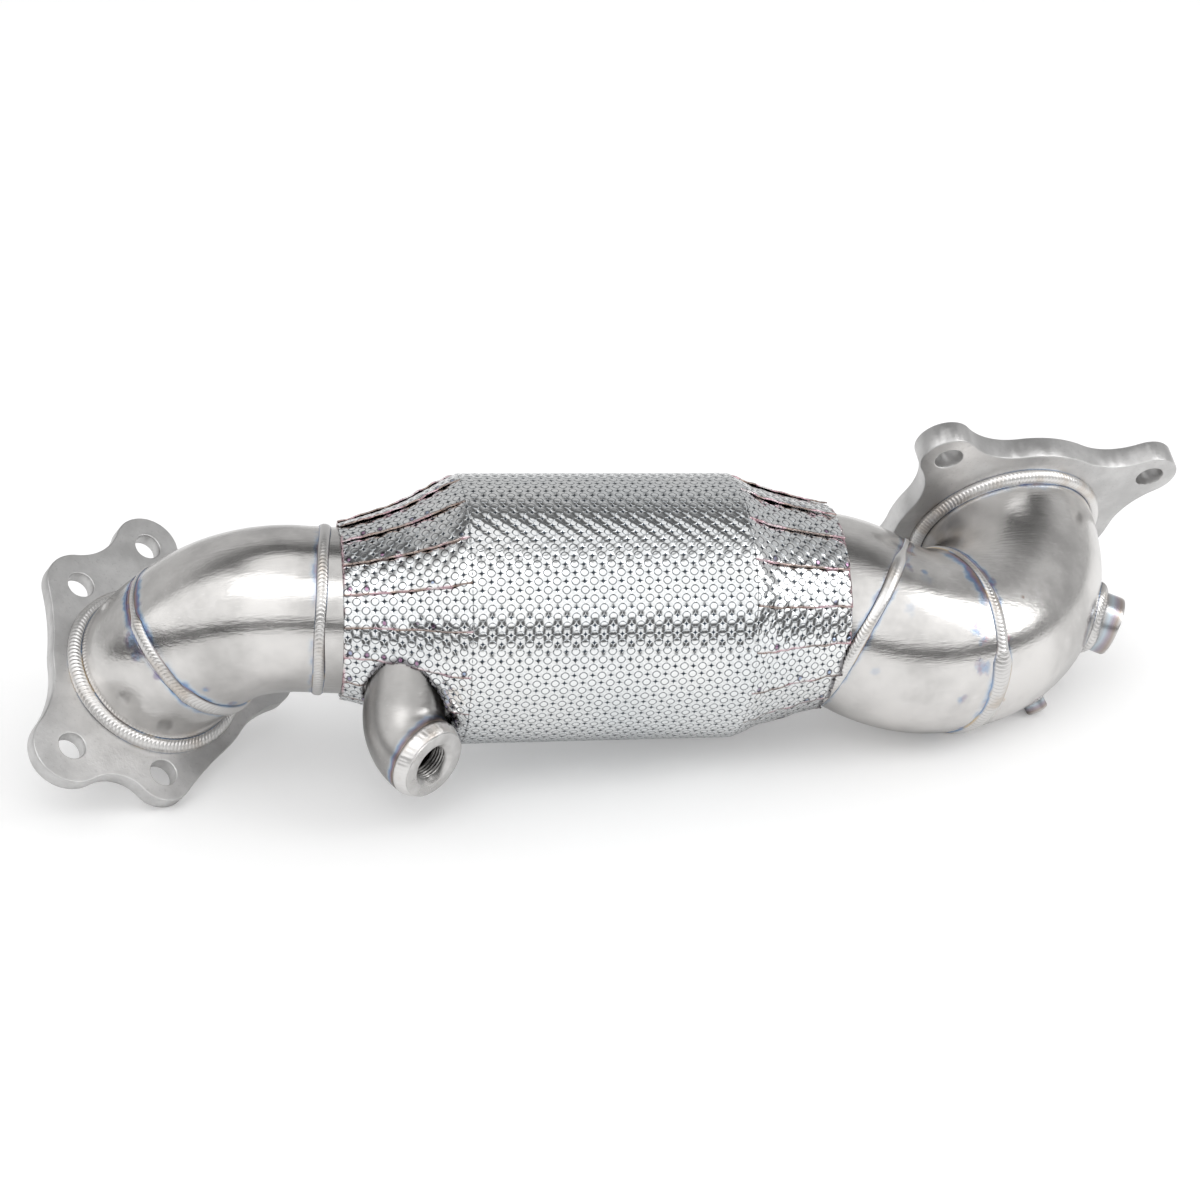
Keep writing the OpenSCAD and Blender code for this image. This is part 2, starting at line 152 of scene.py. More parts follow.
def gridFaces(rows, cols, closed):
    # quads between neighbours on a rows x cols grid, and the uv of their corners;
    # a closed grid joins its last row and column to the first
    last = 0 if closed else 1
    i, j = np.meshgrid(np.arange(rows - last), np.arange(cols - last), indexing="ij")
    i, j = i.ravel(), j.ravel()
    corners = [(i, j), (i, j + 1), (i + 1, j + 1), (i + 1, j)]
    faces = np.stack([(a % rows) * cols + b % cols for a, b in corners], 1)
    return faces, np.stack([np.stack([b / (cols - last), a / (rows - last)], 1) for a, b in corners], 1)


def gridPiece(name, points, finish, marks, flip=False, uvScale=(1, 1)):
    # points is rows x cols x 3 in the part's own frame, closed both ways
    rows, cols = points.shape[:2]
    faces, uv = gridFaces(rows, cols, True)
    if flip:
        faces, uv = faces[:, ::-1], uv[:, ::-1]
    return putMesh(name, toFrame(points.reshape(-1, 3)), faces, finish, uv.reshape(-1, 2) * uvScale, marks)


def roundAngles(count):
    return np.linspace(0, 2 * np.pi, count, endpoint=False)[:, None]


def ringPoints(p, t, section):
    # section is (around, n, 2): radius and height along t, carried round the axis p, t
    a = roundAngles(len(section))
    x = turnTo(t, 0)
    y = np.cross(t, x)
    radial = np.cos(a) * x + np.sin(a) * y
    return np.asarray(p) + section[..., :1] * radial[:, None, :] + section[..., 1:] * t


def wobble(a, seed, count=5):
    # slow uneven waves round a ring, between about -1 and 1
    rng = np.random.default_rng(seed)
    k = np.arange(2, 2 + count)
    waves = zip(k, rng.uniform(0, 6.28, count), rng.uniform(0.2, 0.5, count))
    return sum(np.sin(n * a + p) * s for n, p, s in waves)


def ride(piece, slot, *nodes):
    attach(piece, "root")
    if nodes:
        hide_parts(*nodes)


class Value:
    # a number socket; operators on it add Math nodes
    def __init__(self, tree, socket):
        self.tree, self.socket = tree, socket

    def math(self, kind, *items):
        node = self.tree.nodes.new("ShaderNodeMath")
        node.operation = kind
        for place, item in zip(node.inputs, items):
            plug(self.tree, place, item)
        return Value(self.tree, node.outputs[0])

    def __add__(self, other): return self.math("ADD", self, other)
    def __radd__(self, other): return self.math("ADD", other, self)
    def __sub__(self, other): return self.math("SUBTRACT", self, other)
    def __rsub__(self, other): return self.math("SUBTRACT", other, self)
    def __mul__(self, other): return self.math("MULTIPLY", self, other)
    def __rmul__(self, other): return self.math("MULTIPLY", other, self)
    def __truediv__(self, other): return self.math("DIVIDE", self, other)
    def __pow__(self, other): return self.math("POWER", self, other)
    def __abs__(self): return self.math("ABSOLUTE", self)
    def atLeast(self, other): return self.math("MAXIMUM", self, other)

    def step(self, low, high):
        # 0 below low, 1 above high, smooth between; falls if low is above high
        node = self.tree.nodes.new("ShaderNodeMapRange")
        node.interpolation_type = "SMOOTHSTEP"
        down = low > high
        items = (self, min(low, high), max(low, high), float(down), float(not down))
        for place, item in zip(node.inputs[:5], items):
            plug(self.tree, place, item)
        return Value(self.tree, node.outputs[0])


def plug(tree, place, item):
    if isinstance(item, Value):
        tree.links.new(item.socket, place)
    else:
        place.default_value = item


class Finish:
    # a Principled material; constants go on its sockets
    def __init__(self, name, **constants):
        self.material = bpy.data.materials.new(name)
        self.material.use_nodes = True
        self.tree = self.material.node_tree
        self.shader = self.tree.nodes["Principled BSDF"]
        for key, item in constants.items():
            self.set(key, item)

    def set(self, key, item):
        names = {"color": "Base Color", "roughness": "Roughness", "metallic": "Metallic", "normal": "Normal"}
        plug(self.tree, self.shader.inputs[names[key]], item)

    def node(self, kind, settings, sockets, out=0):
        node = self.tree.nodes.new("ShaderNode" + kind)
        for key, item in settings.items():
            if key == "stops":
                ramp = node.color_ramp.elements
                while len(ramp) < len(item):
                    ramp.new(0.5)
                for stop, (place, color) in zip(ramp, item):
                    stop.position, stop.color = place, color
            else:
                setattr(node, key, item)
        for key, item in sockets.items():
            plug(self.tree, node.inputs[key], item)
        return Value(self.tree, node.outputs[out])

    def place(self):
        return self.node("TexCoord", {}, {}, "Object")

    def mark(self, name):
        return self.node("Attribute", {"attribute_name": name}, {}, "Fac")

    def noise(self, scale, detail=2, rough=0.5, stretch=None):
        where = self.place()
        if stretch:
            where = self.node("Mapping", {}, {"Vector": where, "Scale": stretch})
        sockets = {"Vector": where, "Scale": scale, "Detail": detail, "Roughness": rough}
        return self.node("TexNoise", {}, sockets, "Fac")

    def blend(self, factor, a, b):
        # inputs 6 and 7 and output 2 of a Mix node are its colours
        node = self.tree.nodes.new("ShaderNodeMix")
        node.data_type = "RGBA"
        for place, item in ((0, factor), (6, a), (7, b)):
            plug(self.tree, node.inputs[place], item)
        return Value(self.tree, node.outputs[2])

    def ramp(self, value, *stops):
        # stops: (place, colour); a colour of three numbers gets an alpha of 1
        stops = [(p, tuple(c) + (1,) if len(c) == 3 else c) for p, c in stops]
        return self.node("ValToRGB", {"stops": stops}, {"Fac": value}, "Color")

    def offset(self, point, direction):
        # distance in mm of the shaded spot from the plane through point, along direction
        p, d = toFrame(point), turned @ unit(direction)
        dot = self.node("VectorMath", {"operation": "DOT_PRODUCT"}, {0: self.place(), 1: tuple(d)}, "Value")
        return (dot - float(p @ d)) * 1000

    def distance(self, point):
        # distance in mm of the shaded spot from the point
        sockets = {0: self.place(), 1: tuple(toFrame(point))}
        return self.node("VectorMath", {"operation": "DISTANCE"}, sockets, "Value") * 1000

    def bump(self, height, strength, depth):
        return self.node("Bump", {}, {"Height": height, "Strength": strength, "Distance": depth}, "Normal")


def grey(v, warm=0.0):
    return (v * (1 + warm), v, v * (1 - warm), 1)


tints = {"straw": (0.60, 0.47, 0.30, 1), "brown": (0.36, 0.25, 0.20, 1), "purple": (0.27, 0.20, 0.33, 1),
         "blue": (0.20, 0.34, 0.56, 1), "pale": (0.60, 0.70, 0.80, 1), "pink": (0.62, 0.36, 0.42, 1)}
# the tint that a heat spot is mixed with
beside = {"straw": "brown", "brown": "purple", "purple": "blue", "blue": "purple", "pale": "blue", "pink": "blue"}
tube = {"dark": 0.50, "light": 0.80, "warm": 0.022, "line": 0.90, "lineShare": 0.30, "lineDepth": 0.00025,
        "lineStretch": (90, 700, 700), "rough": 0.15, "cloudRough": 0.10, "heatRagged": 1.3,
        "spotFine": 2.6, "spotSlow": 1.6, "spotShare": 0.60, "paleShare": 0.22}


def tubeFinish(name, heats, spots=(), shade=1, rougher=0):
    # Satin drawn tube: fine lines along it, cloudy gloss, and heat tints beside each weld.
    # heats: (point on the seam, direction away from it, reach in mm, strength); spots: (point, radius in mm, tint)
    # shade scales every colour down, a painted shade; rougher adds to the roughness
    f = Finish(name, metallic=1.0)
    lines = f.noise(1.0, 3, 0.6, stretch=tube["lineStretch"])
    cloud = f.noise(26, 4, 0.6)
    soft = f.noise(9, 2, 0.5)
    darkMetal, lightMetal = (grey(tube[key] * shade, tube["warm"]) for key in ("dark", "light"))
    color = f.blend((cloud * 0.6 + soft * 0.4).step(0.36, 0.64), darkMetal, lightMetal)
    color = f.blend(lines.step(0.60, 0.75) * tube["lineShare"], color, grey(tube["line"] * shade, 0.01))
    for point, away, reach, strength in heats:
        d = f.offset(point, away) + (f.noise(70, 3, 0.65) - 0.5) * reach * tube["heatRagged"]
        d = d / reach
        patch = f.noise(36, 3, 0.6).step(0.40, 0.58) * strength
        tint = f.ramp(d, (0.0, grey(0.28, 0.08)), (0.22, tints["brown"]), (0.40, tints["purple"]),
                      (0.58, tints["blue"]), (0.78, tints["pale"]), (1.0, grey(tube["light"], 0.02)))
        color = f.blend(d.step(1.0, 0.55) * d.step(-0.8, -0.1) * patch, color, tint)
    for point, reach, tint in spots:
        d = f.distance(point) / reach + (f.noise(150, 3, 0.6) - 0.5) * tube["spotFine"]
        d = d + (f.noise(45, 2, 0.5) - 0.5) * tube["spotSlow"]
        inner = f.blend(f.noise(210, 2, 0.5).step(0.42, 0.58), tints[tint], tints[beside[tint]])
        color = f.blend(d.step(1.1, 0.2) * tube["paleShare" if tint == "pale" else "spotShare"], color, inner)
    f.set("color", color)
    f.set("roughness", tube["rough"] + rougher + tube["cloudRough"] * cloud)
    f.set("normal", f.bump(lines, 0.3, tube["lineDepth"]))
    return f


def weldFinish(name, high, low):
    # rippled bead metal, silver on its crests, dull or straw in its valleys, burnt and blue at its edges
    f = Finish(name, metallic=1.0)
    cloud = f.noise(55, 3, 0.6)
    fine = f.noise(900, 2, 0.6)
    ripple = f.mark("ripple")
    color = f.blend(cloud.step(0.50, 0.72) * 0.6, grey(high, 0.015), (0.58, 0.50, 0.42, 1))
    color = f.blend(ripple.step(0.30, 0.0) * 0.55, color, grey(low, 0.05))
    burnt = f.ramp(f.noise(40, 2, 0.5), (0.40, (0.20, 0.17, 0.17)), (0.56, tints["blue"]), (0.64, tints["straw"]))
    color = f.blend(f.mark("edge").step(0.74, 0.98) * 0.9, color, burnt)
    f.set("color", color)
    f.set("roughness", 0.24 + 0.14 * cloud)
    f.set("normal", f.bump(fine, 0.25, 0.0002))
    return f


# sink: how far a bead's edges lie in the tube; under: how deep its flat underside does
bead = {"width": 6.2, "height": 1.55, "pitch": 1.9, "ripple": 0.22, "curl": 2.1, "sink": 0.1, "under": 1.2,
        "around": 1000, "across": 20}
fillet = {"leg": 5.5, "under": 1, "intoPlate": 0.3, "around": 1000, "across": 18}
saddle = {"around": 320, "across": 12, "intoBung": 0.4, "intoTube": 0.6, "walks": 6}


def ripples(arc, v, seed):
    # saw wave along the seam whose crests bow back with v squared, like stacked coins, with uneven steps
    phase = (arc + 0.35 * wobble(arc / 40, seed, 6)) / bead["pitch"] + bead["curl"] * v ** 2 / bead["pitch"]
    saw = phase % 1
    return np.where(saw < 0.7, saw / 0.7, (1 - saw) / 0.3)


def ripplesRound(a, r, v, seed):
    # the saw wave over angles a at radius r, with a whole number of ripples round
    return ripples(a * round(2 * np.pi * r / bead["pitch"]) * bead["pitch"] / (2 * np.pi), v, seed)


def weldPiece(name, points, wave, edge, node, finish):
    # wave and edge (1 at the bead's edges) go to the finish as marks; the closing columns hold 1
    marks = {"ripple": np.ones(points.shape[:2]), "edge": np.ones(points.shape[:2])}
    marks["ripple"][:, :wave.shape[1]] = wave
    marks["edge"][:, :wave.shape[1]] = edge
    ride(gridPiece(name, points, finish, marks), "weld_metal", node)


def beadRing(name, p, t, tubeR, seed, node, finish, smoothPart=(9, 9), swells=()):
    # Section: a low arch on the tube, h = height * (1 - v^2)^0.8, closed by a flat underside sunk in the tube.
    # Between the two angles of smoothPart, in radians, the ripples fade as on a hot stretch of the weld.
    # Each swell (side, start, full, scale) widens or thins the bead where spoke . side goes from start to full.
    around = bead["around"]
    a = roundAngles(around)
    v = np.linspace(-1, 1, bead["across"])[None, :]
    spoke = ringPoints(np.zeros(3), t, np.stack([np.ones((around, 1)), np.zeros((around, 1))], -1))
    size = np.ones((around, 1))
    for side, start, full, scale in swells:
        k = np.clip((spoke @ unit(side) - start) / (full - start), 0, 1)
        size = size * (1 + (scale - 1) * k * k * (3 - 2 * k))
    wide = bead["width"] / 2 * (1 + 0.07 * wobble(a, seed)) * size
    wave = ripplesRound(a, tubeR, v, seed)
    middle, half = sum(smoothPart) / 2, max((smoothPart[1] - smoothPart[0]) / 2, 0.01)
    still = np.clip(1 - np.abs(a - middle) / half, 0, 1)
    wave = wave + (0.6 - wave) * np.clip(4 * still, 0, 0.85)
    arch = (1 - v ** 2) ** 0.8
    tall = np.minimum(size, 1.15) * (1 + 0.10 * wobble(a, seed + 7))
    crest = bead["ripple"] * wave * np.sqrt(arch) * np.minimum(size, 1)
    radius = tubeR + (bead["height"] - bead["ripple"]) * arch * tall + crest - bead["sink"]
    height = wide * v + 0.45 * wobble(a, seed + 3)
    flat = np.full((around, 1), tubeR - bead["under"])
    section = np.stack([np.hstack([radius, flat, flat]), np.hstack([height, height[:, -1:], height[:, :1]])], -1)
    weldPiece(name, ringPoints(p, t, section), wave, np.abs(v), node, finish)


def filletRing(name, p, t, tubeR, seed, node, finish):
    # Section: from the tube a leg's length before the plate, over a bulging quarter, to the plate,
    # with the same bowed ripples, closed by two sides sunk in the tube and the plate.
    around, leg = fillet["around"], fillet["leg"]
    a = roundAngles(around)
    v = np.linspace(0, 1, fillet["across"])[None, :]
    wave = ripplesRound(a, tubeR + leg / 2, 2 * v - 1, seed)
    bulge = 0.84 + 0.16 * np.cos((v - 0.5) * np.pi) ** 0.5
    reach = leg * (1 + 0.06 * wobble(a, seed)) * (1 + 0.05 * (wave - 0.5)) * bulge
    radius = tubeR - bead["sink"] + reach * np.sin(v * np.pi / 2)
    height = -reach * np.cos(v * np.pi / 2)
    under = np.full((around, 1), tubeR - fillet["under"])
    plateSide = np.full((around, 1), fillet["intoPlate"])
    section = np.stack([np.hstack([radius, radius[:, -1:], under, under]),
                        np.hstack([height, plateSide, plateSide, height[:, :1]])], -1)
    weldPiece(name, ringPoints(p, t, section), wave, np.abs(2 * v - 1) ** 2, node, finish)


def saddleRing(name, spot, r, leg, seed, node, finish):
    # Fillet round a bung on the big elbow: at each angle the tube's skin is found by walking
    # in along the bung's axis, and a bulging quarter of a leg's reach joins it to the bung's side.
    p, n = onElbow(spot)
    around = saddle["around"]
    a = roundAngles(around)
    v = np.linspace(0, 1, saddle["across"])[None, :]
    wave = ripplesRound(a, r + leg / 2, 2 * v - 1, seed)
    reach = leg * (1 + 0.13 * wobble(a, seed)) * (1 + 0.16 * (wave - 0.5))
    rho = r - bead["sink"] + reach * np.sin(v * np.pi / 2)
    rise = reach * np.cos(v * np.pi / 2)
    rho = np.hstack([rho, rho[:, -1:], np.full((around, 1), r - saddle["intoBung"])])
    rise = np.hstack([rise, np.full((around, 2), -saddle["intoTube"])])
    x = turnTo(n, 0)
    y = np.cross(n, x)
    foot = p + rho[..., None] * (np.cos(a)[..., None] * x + np.sin(a)[..., None] * y)
    for again in range(saddle["walks"]):
        away = foot - centreLine(foot, midP, midT, pipes["inElbow"], pipes["stub"])
        size = np.linalg.norm(away, axis=-1)
        foot = foot - ((size - pipes["inR"]) / np.clip((away @ n) / size, 0.4, 1))[..., None] * n
    weldPiece(name, foot + rise[..., None] * n, wave, np.abs(2 * v - 1) ** 2, node, finish)


# in mm, but for fine, the depth of the relief in the finish in metres, and the two seams in degrees
shield = {"radius": 62.3, "x0": -63.4, "x1": 63.9, "cellX": 8.213, "cells": 50, "up": 0.17, "down": 0.26,
          "inset": 0.05, "endEase": 1.2, "inside": 1, "rows": 156, "cols": 500,
          "fine": 0.0003, "sheet": 0.6, "petals": 18, "lift": 1.35, "overlap": 2.0, "ragged": 0.35,
          "outSkirt": [(-63.4, 62.3), (-66.5, 61.2), (-76, 55.8), (-88, 49.4), (-101, 44.6),
                       (-111.8, 41.5), (-117.9, 39.7)],
          "inSkirt": [(63.9, 62.3), (66.5, 61.4), (73.5, 57.4), (84, 54.1), (98, 50.6), (111.6, 47.7)],
          "outSeam": 9.5, "inSeam": 0.5}
# tuck: how deep a petal's near edge dips under; lip and rim: how far each tinted edge reaches;
# gap and hole: how far the painted shadow at the tucked edge and the painted shade round the hole reach
petal = {"rows": 60, "cols": 28, "profile": 400, "blur": 15, "ease": 9, "knots": 16, "inset": 0.35, "tuck": 0.3,
         "embossEase": 1.5, "lip": 7, "gap": 4, "rim": 4, "hole": 3, "dotPitch": 7.5, "dotUp": 2.4}
# how the mouths are cut: behind the sensor elbow's root, and before and round the first inlet weld
cuts = {"elbowFrom": -25, "beadFrom": -3.4, "beadGap": 2.1, "away": 9.0}
cellW = 2 * math.pi * shield["radius"] / shield["cells"]


def emboss(u, w):
    # pillows and pits in chequer order, from c = cos(u) * cos(w) over one cell
    c = np.cos(2 * np.pi * u) * np.cos(2 * np.pi * w)
    return np.where(c > 0, shield["up"] * np.abs(c) ** 0.9, -shield["down"] * np.abs(c) ** 1.4)


def shieldBody(finish):
    # r(x, a) = radius + emboss, eased to the plain radius at both ends; two last rows close it inside
    rows, cols = shield["rows"], shield["cols"]
    x = np.linspace(shield["x0"], shield["x1"], rows)[:, None]
    a = roundAngles(cols).T
    ease = np.clip(np.minimum(x - shield["x0"], shield["x1"] - x) / shield["endEase"], 0, 1)
    relief = emboss((x - shield["x0"]) / shield["cellX"], a * shield["cells"] / (2 * np.pi)) * ease
    r = shield["radius"] - shield["inset"] + relief
    x = np.vstack([x, x[-1:], x[:1]])
    r = np.vstack([r, np.full((2, cols), shield["radius"] - shield["inside"])])
    points = np.stack([x + 0 * a, r * np.cos(a), r * np.sin(a)], -1)
    span = (shield["x1"] - shield["x0"]) / shield["cellX"] * (rows + 2) / (rows - 1)
    return gridPiece("shield_body", points, finish, {}, uvScale=(shield["cells"], span))


def insideElbow(points):
    # How far each point lies outside the hole round the sensor elbow, and the way out of it. The hole is
    # the elbow's tube with a gap, and the tube again moved by the slack.
    best, way = None, None
    for shift, r in ((np.zeros(3), pipes["sensorR"] + pipes["holeGap"]),
                     (np.array(pipes["holeSlack"]), pipes["sensorR"])):
        near = centreLine(points - shift, pipes["sensorStart"], sensorT0, pipes["sensorRun"], 0) + shift
        away = points - near
        size = np.linalg.norm(away, axis=-1)
        beyond = (points - pipes["sensorStart"]) @ sensorT0
        far = np.where(beyond > cuts["elbowFrom"], size - r, cuts["away"])
        away = away / size[..., None]
        if best is None:
            best, way = far, away
        else:
            way = np.where((far < best)[..., None], away, way)
            best = np.minimum(best, far)
    return best, way


def insideBead(points):
    # how far each point lies outside the cylinder that clears the first inlet weld
    q = points - lowP
    depth = q @ lowT
    away = q - depth[..., None] * lowT
    size = np.linalg.norm(away, axis=-1)
    start, r = cuts["beadFrom"], pipes["inR"] + cuts["beadGap"]
    far = np.where(depth > start, size - r, cuts["away"])
    back = np.where((depth > start) & (size < r), start - depth, -cuts["away"])
    useBack = (far < 0) & (back > far)
    return np.where(useBack, back, far), np.where(useBack[..., None], -lowT, away / size[..., None])


def skirt(name, shape, seamAt, seed, finish, hole):
    # One petal per pleat: s runs down the blurred profile, f across the petal from -1 to 1. The petal's
    # far edge lifts over the next one, and the embossing keeps its pitch across the narrowing petal.
    # Corners inside the hole are moved out to its rim, and faces wholly inside it are dropped.
    shape = np.array(shape, float)
    steps = np.r_[0, np.cumsum(np.hypot(*np.diff(shape, axis=0).T))]
    rows, cols, n = petal["rows"], petal["cols"], shield["petals"]
    fine = np.linspace(0, steps[-1], petal["profile"])
    blur = petal["blur"]
    soft = np.ones(2 * blur + 1) / (2 * blur + 1)
    fineR = np.interp(fine, steps, shape[:, 1])
    fineR[blur:-blur] = np.convolve(fineR, soft, "valid")
    s = np.linspace(0, steps[-1], rows)[None, :, None] * np.ones((n, 1, cols))
    f = np.linspace(-1, 1, cols)[None, None, :] * np.ones((n, rows, 1))
    k = np.arange(n)[:, None, None]
    half = np.pi / n
    x, r0 = np.interp(s, fine, np.interp(fine, steps, shape[:, 0])), np.interp(s, fine, fineR)
    ease = np.clip(s / petal["ease"], 0, 1)
    rng = np.random.default_rng(seed)
    knots = rng.uniform(-1, 1, (n, petal["knots"]))
    knotAt = np.linspace(0, steps[-1], petal["knots"])
    ragged = np.stack([np.interp(s[0, :, 0], knotAt, row) for row in knots])[:, :, None]
    lip = np.clip((f - 0.6) / 0.4, 0, 1)
    middle = (2 * k + 1) * half + math.radians(seamAt)
    local = f * half + f * shield["overlap"] * ease / r0 * 0.5 + shield["ragged"] * ragged * ease * lip / r0
    a = middle + local
    lift = shield["lift"] * ease * np.clip((f + 1) / 2, 0, 1) ** 1.3 * (1 + 0.35 * ragged * lip)
    lift = lift - petal["tuck"] * ease * np.clip(-f - 0.8, 0, 1) / 0.2
    side = np.sign(shape[-1, 0])
    u = ((shield["x1"] - shield["x0"] if side > 0 else 0) + side * s) / shield["cellX"]
    w = (shield["radius"] * middle + r0 * local) / cellW
    r = r0 - petal["inset"] + lift + emboss(u, w) * np.clip(s / petal["embossEase"], 0, 1)
    points = np.stack([x, r * np.cos(a), r * np.sin(a)], -1)
    one = gridFaces(rows, cols, False)[0]
    faces = (one[None] + k * rows * cols).reshape(-1, 4)
    flat = points.reshape(-1, 3)
    far, way = hole(flat)
    keep = (far[faces] > 0).any(1)
    faces = faces[keep]
    used = np.zeros(len(flat), bool)
    used[faces] = True
    move = used & (far < 0)
    flat[move] -= far[move, None] * way[move]
    if side < 0:
        faces = faces[:, ::-1]
    uv = np.stack([w.ravel(), u.ravel()], -1)[faces]
    marks = {"lip": np.clip(1 - (1 - f) * r0 * half / petal["lip"], 0, 1),
             # painted shadow along the near edge, where it tucks under the lip before it
             "gap": np.clip(1 - (1 + f) * r0 * half / petal["gap"], 0, 1) * ease,
             "run": s, "rim": np.clip(1 - (steps[-1] - s) / petal["rim"], 0, 1),
             # painted shade round the rim of each hole
             "hole": np.clip(1 - far / petal["hole"], 0, 1)}
    index = np.cumsum(used) - 1
    return putMesh(name, toFrame(flat[used]), index[faces], finish, uv.reshape(-1, 2),
                   {key: item.ravel()[used] for key, item in marks.items()})


def shieldFinish():
    # Mirror-bright foil. From p = cos(u) and q = cos(v) on the UV map come a ring round each pillow,
    # where p * q is positive, and a four-pointed star in each pit. They are painted dark as a painted reflection
    # of the dark room, and sharpen the relief. The petals' lips are heat tinted and have spot-weld dots.
    f = Finish("embossed foil", metallic=1.0)
    split = f.node("SeparateXYZ", {}, {0: f.node("UVMap", {}, {}, "UV")}, "X")
    u = split * (2 * math.pi)
    v = Value(f.tree, split.socket.node.outputs["Y"]) * (2 * math.pi)
    p, q = u.math("COSINE", u), v.math("COSINE", v)
    c = p * q
    ring = 2 - abs(p) - abs(q)
    star = (1 - abs(p)) ** 0.25 + (1 - abs(q)) ** 0.25
    cloud = f.noise(22, 3, 0.5)
    pillow, pit = c.step(-0.02, 0.06), c.step(0.02, -0.06)
    # painted reflection: a dark ring round each pillow, a dark star in each pit, and the pits a little darker
    flank = abs(ring - 0.80).step(0.30, 0.12) * pillow
    starShade = star.step(1.12, 0.84) * pit
    color = f.blend(cloud.step(0.4, 0.7), (0.92, 0.94, 0.95, 1), (0.98, 0.99, 0.99, 1))
    color = f.blend(pit * 0.10 + flank * 0.70 + starShade * 0.88, color, (0.04, 0.055, 0.075, 1))
    lip, gap, run, rim, hole = (f.mark(key) for key in ("lip", "gap", "run", "rim", "hole"))
    patch = f.noise(60, 2, 0.5)
    # painted shadow at the tucked edge, broken up by the noise
    color = f.blend(gap.step(0.45, 0.75) * patch.step(0.30, 0.5) * 0.85, color, (0.05, 0.04, 0.04, 1))
    burnt = f.ramp(patch, (0.35, (0.16, 0.10, 0.08)), (0.48, tints["brown"]), (0.56, tints["pink"]),
                   (0.68, grey(0.8, 0.02)))
    color = f.blend(lip.step(0.80, 0.97) * 0.85, color, burnt)
    color = f.blend(rim.step(0.55, 0.95) * patch.step(0.44, 0.56) * 0.85, color, burnt)
    # painted shade round the rim of each hole
    color = f.blend(hole.step(0.4, 0.9) * 0.8, color, (0.10, 0.09, 0.10, 1))
    # dots: dark rings along the lip, a little above its edge, where the noise lets them show
    pitch = petal["dotPitch"]
    dx = run.math("FRACT", run / pitch) * pitch - pitch / 2
    dy = (1 - lip) * petal["lip"] - petal["dotUp"]
    d = dx.math("SQRT", dx * dx + dy * dy)
    show = f.noise(75, 1, 0.4).step(0.50, 0.54) * lip.step(0.02, 0.1)
    color = f.blend(d.step(1.7, 1.2) * show * 0.8, color, (0.06, 0.05, 0.07, 1))
    heart = f.ramp(cloud, (0.45, (0.45, 0.25, 0.40)), (0.55, (0.45, 0.55, 0.75)))
    color = f.blend(d.step(0.9, 0.6) * show * 0.85, color, heart)
    f.set("color", color)
    f.set("roughness", 0.10 + 0.05 * cloud)
    f.set("normal", f.bump(ring.step(1.0, 0.55) * pillow - star.step(1.3, 0.5) * pit, 0.8, shield["fine"]))
    return f


foil = shieldFinish()
ride(shieldBody(foil), "shield_foil", "heat_shield")
for piece in (skirt("shield_outlet_skirt", shield["outSkirt"], shield["outSeam"], 5, foil, insideElbow),
              skirt("shield_inlet_skirt", shield["inSkirt"], shield["inSeam"], 6, foil, insideBead)):
    wall = piece.modifiers.new("sheet", "SOLIDIFY")
    wall.thickness, wall.offset = shield["sheet"] / 1000, -1
    ride(piece, "shield_foil", "heat_shield")
print("heat shield done")

beadMetal = weldFinish("weld bead", 0.74, 0.30)
brightMetal = weldFinish("bright weld", 0.82, 0.45)
beadRing("weld_outlet_stub", stubP, stubT, pipes["outR"], 1, "outlet_stub_weld", beadMetal,
         swells=[((-0.6, 0, 0.8), 0.50, 0.66, 0.45), ((0.6, 0, -0.8), 0.35, 0.55, 1.35)])
# this swell starts and ends below -1, so the whole ring is thinner
beadRing("weld_outlet_ring", ringP, outDir, pipes["outR"], 2, "outlet_ring_weld", beadMetal,
         swells=[((1, 0, 0), -2, -1.5, 0.85)])
beadRing("weld_inlet_lower", lowP, lowT, pipes["inR"], 3, "inlet_lower_weld", brightMetal, smoothPart=(0.2, 1.6),
         swells=[((0, 0, 1), 0.62, 0.76, 0.40)])
beadRing("weld_inlet_middle", midP, midT, pipes["inR"], 4, "inlet_middle_weld", beadMetal,
         swells=[((0, 0, 1), 0.30, 0.75, 0.55), ((0, 0, -1), 0.05, 0.25, 1.8)])
filletRing("weld_outlet_flange", outFaceP, outFaceT, pipes["outR"], 5, "outlet_flange_weld", brightMetal)
filletRing("weld_inlet_flange", inFaceP, inFaceT, pipes["inR"], 6, "inlet_flange_weld", brightMetal)
saddleRing("weld_front_bung", pipes["frontBung"], 15, 4.0, 7, "front_sensor_weld", beadMetal)
saddleRing("weld_port", pipes["port"], 5.5, 2.2, 8, "port_weld", beadMetal)
print("welds done")

# r and h: outer radius and height over the tube's skin; below: how far it goes in; thread: the core
# radius; sink: depth of the countersink; band: where its heat bands end
bungs = {
    "rear": {"r": 16.4, "h": 7.1, "below": 2.5, "thread": 8.25, "sink": 2.4, "edge": 0.6, "pitch": 1.5},
    "front": {"r": 15, "h": 11, "below": 4, "thread": 8.25, "sink": 1.5, "edge": 1.0, "pitch": 1.5, "band": 11.0},
    "port": {"r": 5.5, "h": 7.5, "below": 2.5, "thread": 2.5, "sink": 0.8, "edge": 0.8, "pitch": 1.0, "band": 7.5}}
# dark: how far down the hole the painted shade reaches, in mm
turning = {"around": 128, "perTurn": 12, "least": 40, "threadDepth": 0.62, "threadStart": 0.5, "coreGap": 0.1,
           "mouth": 0.35, "dark": 5, "sharp": 32}


